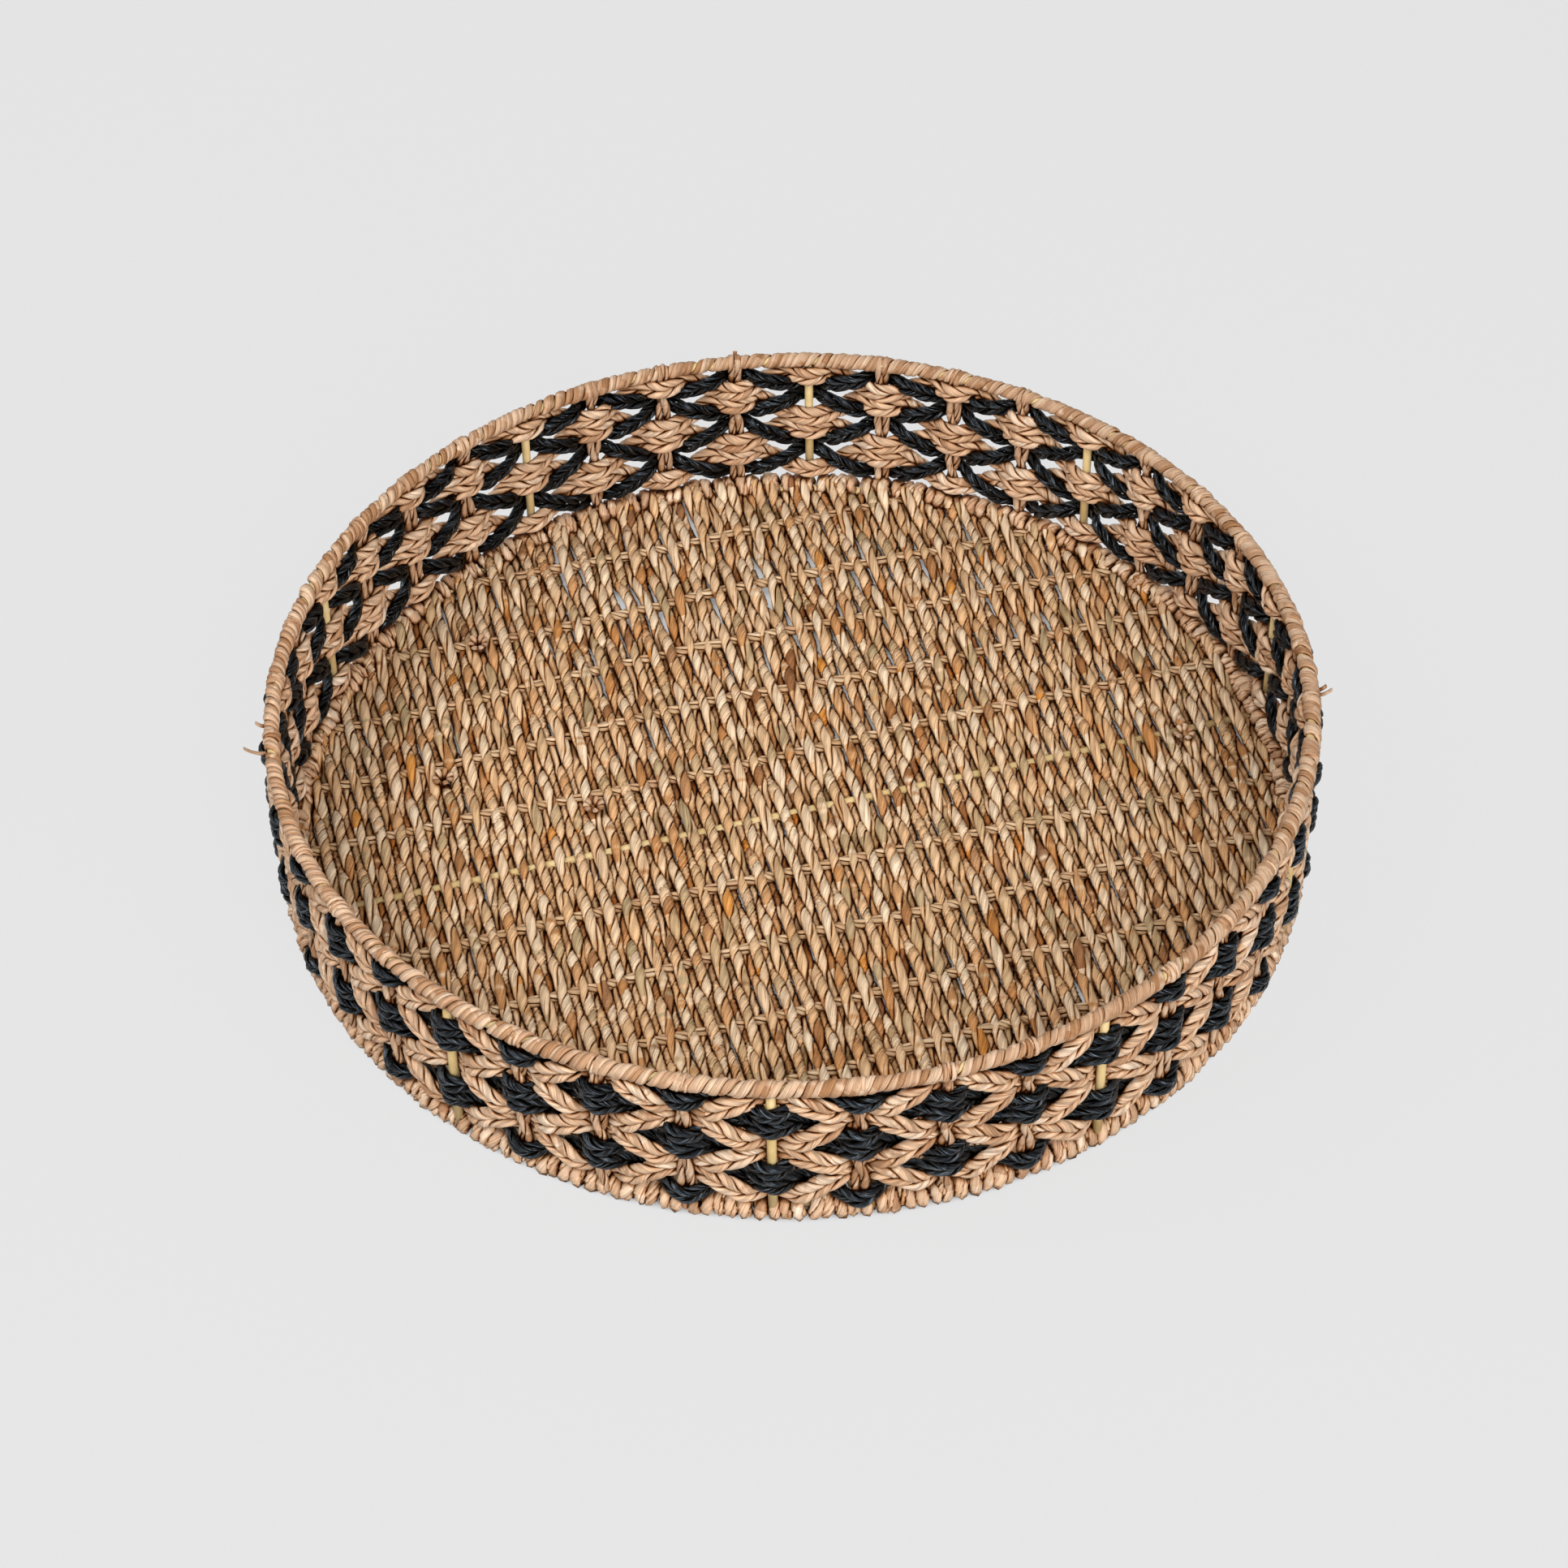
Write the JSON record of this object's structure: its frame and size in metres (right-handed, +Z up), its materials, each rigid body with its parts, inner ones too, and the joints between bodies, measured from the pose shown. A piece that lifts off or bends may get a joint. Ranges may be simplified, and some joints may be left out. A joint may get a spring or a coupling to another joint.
{
  "type": "round woven tray",
  "caption": "Round shallow tray woven from natural and black seagrass rope on a welded wire frame, with an open lattice wall, a bound rim and a close-woven base.",
  "frame": {"origin": "on the floor under the middle of the tray", "axes": "+Z up out of the tray; +X along the bare wire that crosses the base; +Y along the passes of the base rope"},
  "size_m": [0.4542, 0.4542, 0.084],
  "materials": {
    "frame_wire": "satin pale gold paint on steel wire",
    "wall_cord": "matt natural seagrass cord",
    "natural_rope": "matt natural seagrass rope, two-ply",
    "black_rope": "seagrass rope dyed black, slight sheen",
    "rim_binding": "flat seagrass strips, slight sheen",
    "base_rope": "matt natural seagrass rope, two-ply, with brown flecks"
  },
  "bodies": {
    "root": {"rim_wire": "frame_wire", "base_wire": "frame_wire", "centre_wire": "frame_wire", "upright_wire_01": "frame_wire", "upright_wire_02": "frame_wire", "upright_wire_03": "frame_wire", "upright_wire_04": "frame_wire", "upright_wire_05": "frame_wire", "upright_wire_06": "frame_wire", "upright_wire_07": "frame_wire", "upright_wire_08": "frame_wire", "upright_wire_09": "frame_wire", "upright_wire_10": "frame_wire", "wall_cord_01": "wall_cord", "wall_cord_02": "wall_cord", "wall_cord_03": "wall_cord", "wall_cord_04": "wall_cord", "wall_cord_05": "wall_cord", "wall_cord_06": "wall_cord", "wall_cord_07": "wall_cord", "wall_cord_08": "wall_cord", "wall_cord_09": "wall_cord", "wall_cord_10": "wall_cord", "wall_cord_11": "wall_cord", "wall_cord_12": "wall_cord", "wall_cord_13": "wall_cord", "wall_cord_14": "wall_cord", "wall_cord_15": "wall_cord", "wall_cord_16": "wall_cord", "wall_cord_17": "wall_cord", "wall_cord_18": "wall_cord", "wall_cord_19": "wall_cord", "wall_cord_20": "wall_cord", "wall_cord_21": "wall_cord", "wall_cord_22": "wall_cord", "wall_cord_23": "wall_cord", "wall_cord_24": "wall_cord", "wall_cord_25": "wall_cord", "wall_cord_26": "wall_cord", "wall_cord_27": "wall_cord", "wall_cord_28": "wall_cord", "wall_cord_29": "wall_cord", "wall_cord_30": "wall_cord", "natural_weaver_1": "natural_rope", "black_weaver_1": "black_rope", "natural_weaver_2": "natural_rope", "black_weaver_2": "black_rope", "natural_weaver_3": "natural_rope", "black_weaver_3": "black_rope", "natural_weaver_4": "natural_rope", "black_weaver_4": "black_rope", "rim_binding": "rim_binding", "base_mat": "base_rope"}
  },
  "joints": []
}
